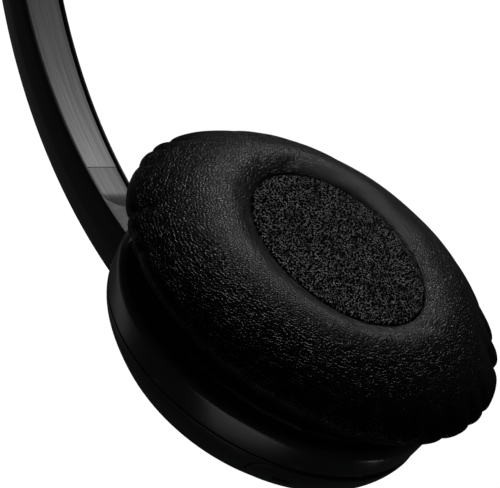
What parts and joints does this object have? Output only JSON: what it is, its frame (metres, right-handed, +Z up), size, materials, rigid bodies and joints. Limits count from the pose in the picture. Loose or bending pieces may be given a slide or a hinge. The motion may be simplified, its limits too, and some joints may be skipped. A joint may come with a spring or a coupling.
{
  "type": "office headset",
  "caption": "On-ear office headset with a steel headband, sliding arms, folding padded cups and a swinging boom microphone.",
  "frame": {"origin": "middle of the underside of the crown pad, where it rests on the head", "axes": "+Z up from the head through the crown, +Y forward as worn, X from ear to ear with the left cup at -X"},
  "size_m": [0.1822, 0.1616, 0.2242],
  "materials": {
    "shell_plastic": "satin black moulded plastic with a very fine grain",
    "inner_plastic": "matt black moulded plastic",
    "button_plastic": "smooth black key plastic",
    "band_steel": "spring steel brushed along its length",
    "bright_steel": "plain turned or stamped steel",
    "leatherette": "soft black leatherette with a fine pebble grain",
    "knit_mesh": "coarse black open knit with a slight sparkle",
    "foam": "open-cell black foam",
    "boom_sleeve": "black rubber sleeve",
    "nylon": "natural nylon",
    "circuit_board": "green solder mask",
    "foil": "dull metal foil or casing"
  },
  "bodies": {
    "headband": {"spring_band": "band_steel", "crown_cover": "shell_plastic", "crown_pad_base": "inner_plastic", "crown_pad": "leatherette", "crown_screw_1": "bright_steel", "crown_screw_2": "bright_steel", "slide_shoe_left": "nylon", "slide_shoe_right": "nylon", "detent_spring_left": "bright_steel", "detent_spring_right": "bright_steel"},
    "arm_left": {"arm_shell_left": "shell_plastic", "arm_inlay_left": "band_steel"},
    "swivel_left": {"yoke_left": "shell_plastic", "swivel_pin_left": "bright_steel"},
    "cup_left": {"back_shell_left": "shell_plastic", "front_frame_left": "shell_plastic", "baffle_left": "inner_plastic", "driver_frame_left": "inner_plastic", "driver_magnet_left": "foil", "diaphragm_left": "foil", "speaker_guard_left": "inner_plastic", "cushion_ring_left": "inner_plastic", "ear_foam_left": "foam", "ear_cushion_left": "leatherette", "cushion_mesh_left": "knit_mesh", "tilt_pin_left": "bright_steel", "shell_screw_left_1": "bright_steel", "shell_screw_left_2": "bright_steel", "main_board": "circuit_board"},
    "arm_right": {"arm_shell_right": "shell_plastic", "arm_inlay_right": "band_steel"},
    "swivel_right": {"yoke_right": "shell_plastic", "swivel_pin_right": "bright_steel"},
    "cup_right": {"back_shell_right": "shell_plastic", "front_frame_right": "shell_plastic", "baffle_right": "inner_plastic", "driver_frame_right": "inner_plastic", "driver_magnet_right": "foil", "diaphragm_right": "foil", "speaker_guard_right": "inner_plastic", "cushion_ring_right": "inner_plastic", "ear_foam_right": "foam", "ear_cushion_right": "leatherette", "cushion_mesh_right": "knit_mesh", "tilt_pin_right": "bright_steel", "shell_screw_right_1": "bright_steel", "shell_screw_right_2": "bright_steel", "battery": "foil", "port_bezel": "shell_plastic", "charge_socket": "bright_steel"},
    "volume_key": {"volume_rocker": "shell_plastic"},
    "call_key": {"call_button": "button_plastic"},
    "power_key": {"power_switch": "button_plastic"},
    "boom": {"boom_hub": "shell_plastic", "boom_tube": "boom_sleeve", "mic_capsule": "shell_plastic", "mic_element": "foil", "windscreen": "foam"},
    "mute_key": {"mute_button": "button_plastic"}
  },
  "joints": [
    {"name": "size_left", "type": "hinge", "parent": "headband", "child": "arm_left", "pos_m": [0.0101, 0, -0.08064], "axis": [0, -1, 0], "range_deg": [0, 14.5]},
    {"name": "fold_left", "type": "hinge", "parent": "arm_left", "child": "swivel_left", "pos_m": [-0.08588, 0, -0.09712], "axis": [-0.1692, 0, 0.9856], "range_deg": [-90, 10]},
    {"name": "tilt_left", "type": "hinge", "parent": "swivel_left", "child": "cup_left", "pos_m": [-0.08146, 0, -0.12972], "axis": [0, 1, 0], "range_deg": [-6, 12]},
    {"name": "size_right", "type": "hinge", "parent": "headband", "child": "arm_right", "pos_m": [-0.0101, 0, -0.08064], "axis": [0, 1, 0], "range_deg": [0, 14.5]},
    {"name": "fold_right", "type": "hinge", "parent": "arm_right", "child": "swivel_right", "pos_m": [0.08588, 0, -0.09712], "axis": [0.1692, 0, 0.9856], "range_deg": [-10, 90]},
    {"name": "tilt_right", "type": "hinge", "parent": "swivel_right", "child": "cup_right", "pos_m": [0.08146, 0, -0.12972], "axis": [0, -1, 0], "range_deg": [-6, 12]},
    {"name": "volume_rock", "type": "hinge", "parent": "cup_left", "child": "volume_key", "pos_m": [-0.0689, 0, -0.154], "axis": [-0.9284, 0, 0.3715], "range_deg": [-1.2, 1.2], "stiffness_Nm_per_rad": 0.5},
    {"name": "call_press", "type": "slide", "parent": "cup_left", "child": "call_key", "axis": [0.9934, 0, 0.1147], "range_m": [0, 0.0006], "stiffness_N_per_m": 1500},
    {"name": "power_slide", "type": "slide", "parent": "cup_right", "child": "power_key", "axis": [0.0426, -0.9284, 0.3692], "range_m": [0, 0.0022]},
    {"name": "boom_turn", "type": "hinge", "parent": "cup_right", "child": "boom", "pos_m": [0.07916, 0, -0.14435], "axis": [0.9934, 0, -0.1147], "range_deg": [-60, 70]},
    {"name": "mute_press", "type": "slide", "parent": "boom", "child": "mute_key", "axis": [-0.9934, 0, 0.1147], "range_m": [0, 0.0006], "stiffness_N_per_m": 1500}
  ]
}
